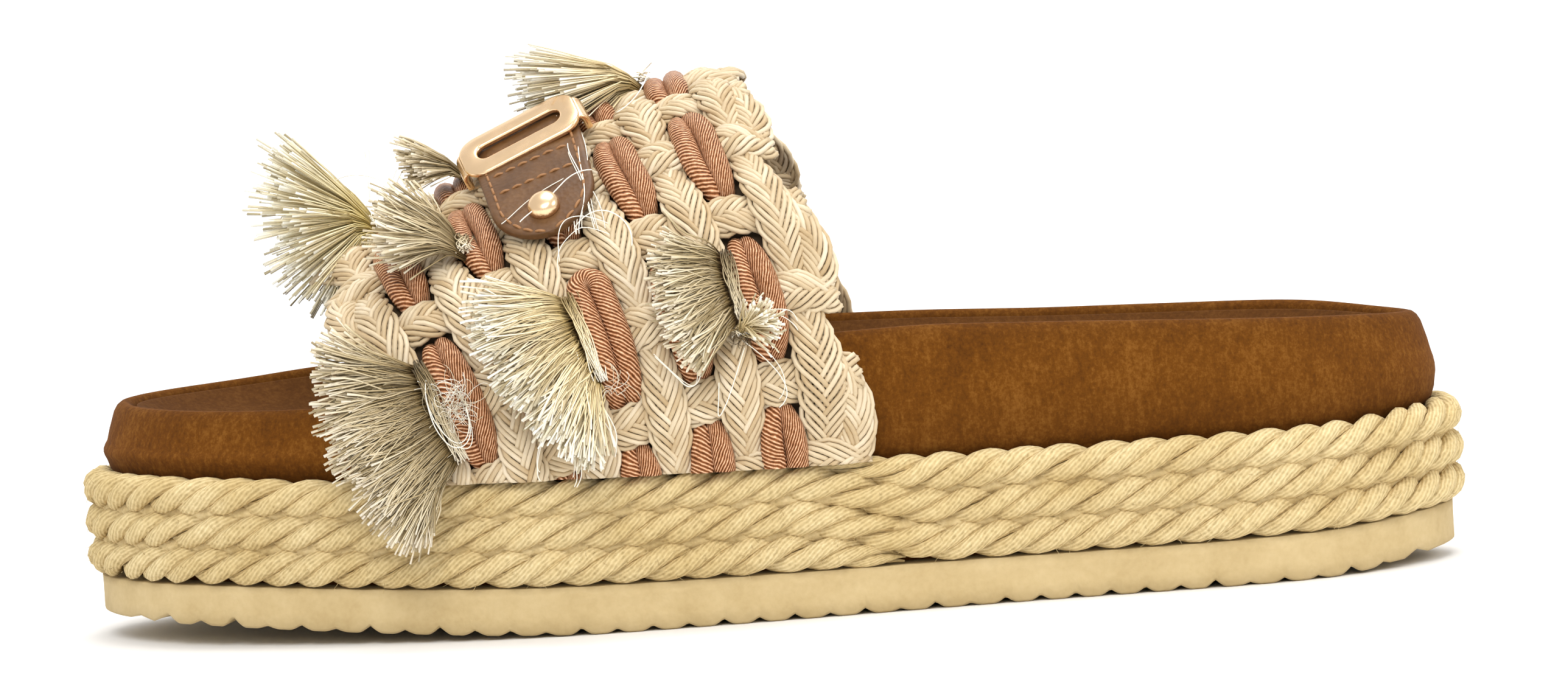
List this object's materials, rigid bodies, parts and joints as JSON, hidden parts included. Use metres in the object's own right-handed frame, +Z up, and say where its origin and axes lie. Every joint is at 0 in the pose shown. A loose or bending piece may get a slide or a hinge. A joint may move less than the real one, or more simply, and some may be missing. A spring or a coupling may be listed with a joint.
{
  "type": "rope sandal",
  "caption": "Platform slide sandal with a rope wrapped sole, suede footbed and a woven braid band with copper cords, fringes and a slotted buckle",
  "frame": {"origin": "on the bottom face of the tread lug under the middle of the arch, on the floor plane", "axes": "+X from toe to heel, +Z up, outer side of the foot toward -Y"},
  "size_m": [0.2673, 0.1209, 0.1035],
  "materials": {
    "sole_foam": "smooth pebbled side, lugged tread",
    "rope_yarn": "three strand twisted cotton rope",
    "brown_suede": "brushed suede",
    "insole_suede": "brushed suede",
    "cream_braid": "flat braid of satin cords",
    "copper_satin": "satin thread wound on cord",
    "cream_fringe": "combed silky yarn",
    "beige_fringe": "combed silky yarn",
    "brown_leather": "smooth finished leather",
    "gold_metal": "polished plating"
  },
  "bodies": {
    "root": {"buckle_plate": "gold_metal", "buckle_strap": "brown_leather", "cord_pair_1_1": "copper_satin", "cord_pair_1_2": "copper_satin", "cord_pair_1_3": "copper_satin", "cord_pair_1_4": "copper_satin", "cord_pair_1_5": "copper_satin", "cord_pair_1_6": "copper_satin", "cord_pair_1_7": "copper_satin", "cord_pair_2_1": "copper_satin", "cord_pair_2_2": "copper_satin", "cord_pair_2_3": "copper_satin", "cord_pair_2_4": "copper_satin", "cord_pair_2_5": "copper_satin", "cord_pair_2_6": "copper_satin", "cord_pair_2_7": "copper_satin", "cord_pair_3_1": "copper_satin", "cord_pair_3_2": "copper_satin", "cord_pair_3_3": "copper_satin", "cord_pair_3_4": "copper_satin", "cord_pair_3_5": "copper_satin", "cord_pair_3_6": "copper_satin", "cord_pair_3_7": "copper_satin", "cord_pair_4_2": "copper_satin", "cord_pair_4_3": "copper_satin", "cord_pair_4_4": "copper_satin", "cord_pair_4_5": "copper_satin", "cord_pair_4_6": "copper_satin", "cord_pair_5_2": "copper_satin", "cord_pair_5_3": "copper_satin", "cord_pair_5_4": "copper_satin", "cord_pair_5_5": "copper_satin", "cord_pair_5_6": "copper_satin", "footbed": "brown_suede", "fringe_crown": "cream_fringe", "fringe_front_low": "beige_fringe", "fringe_front_top": "cream_fringe", "fringe_heel_inner": "beige_fringe", "fringe_heel_outer": "beige_fringe", "fringe_middle_inner": "cream_fringe", "fringe_middle_outer": "cream_fringe", "fringe_toe_inner": "beige_fringe", "fringe_toe_outer": "beige_fringe", "insole": "insole_suede", "outsole": "sole_foam", "rivet_inner": "gold_metal", "rivet_outer": "gold_metal", "rope_wrap": "rope_yarn", "upper": "cream_braid"}
  },
  "joints": []
}
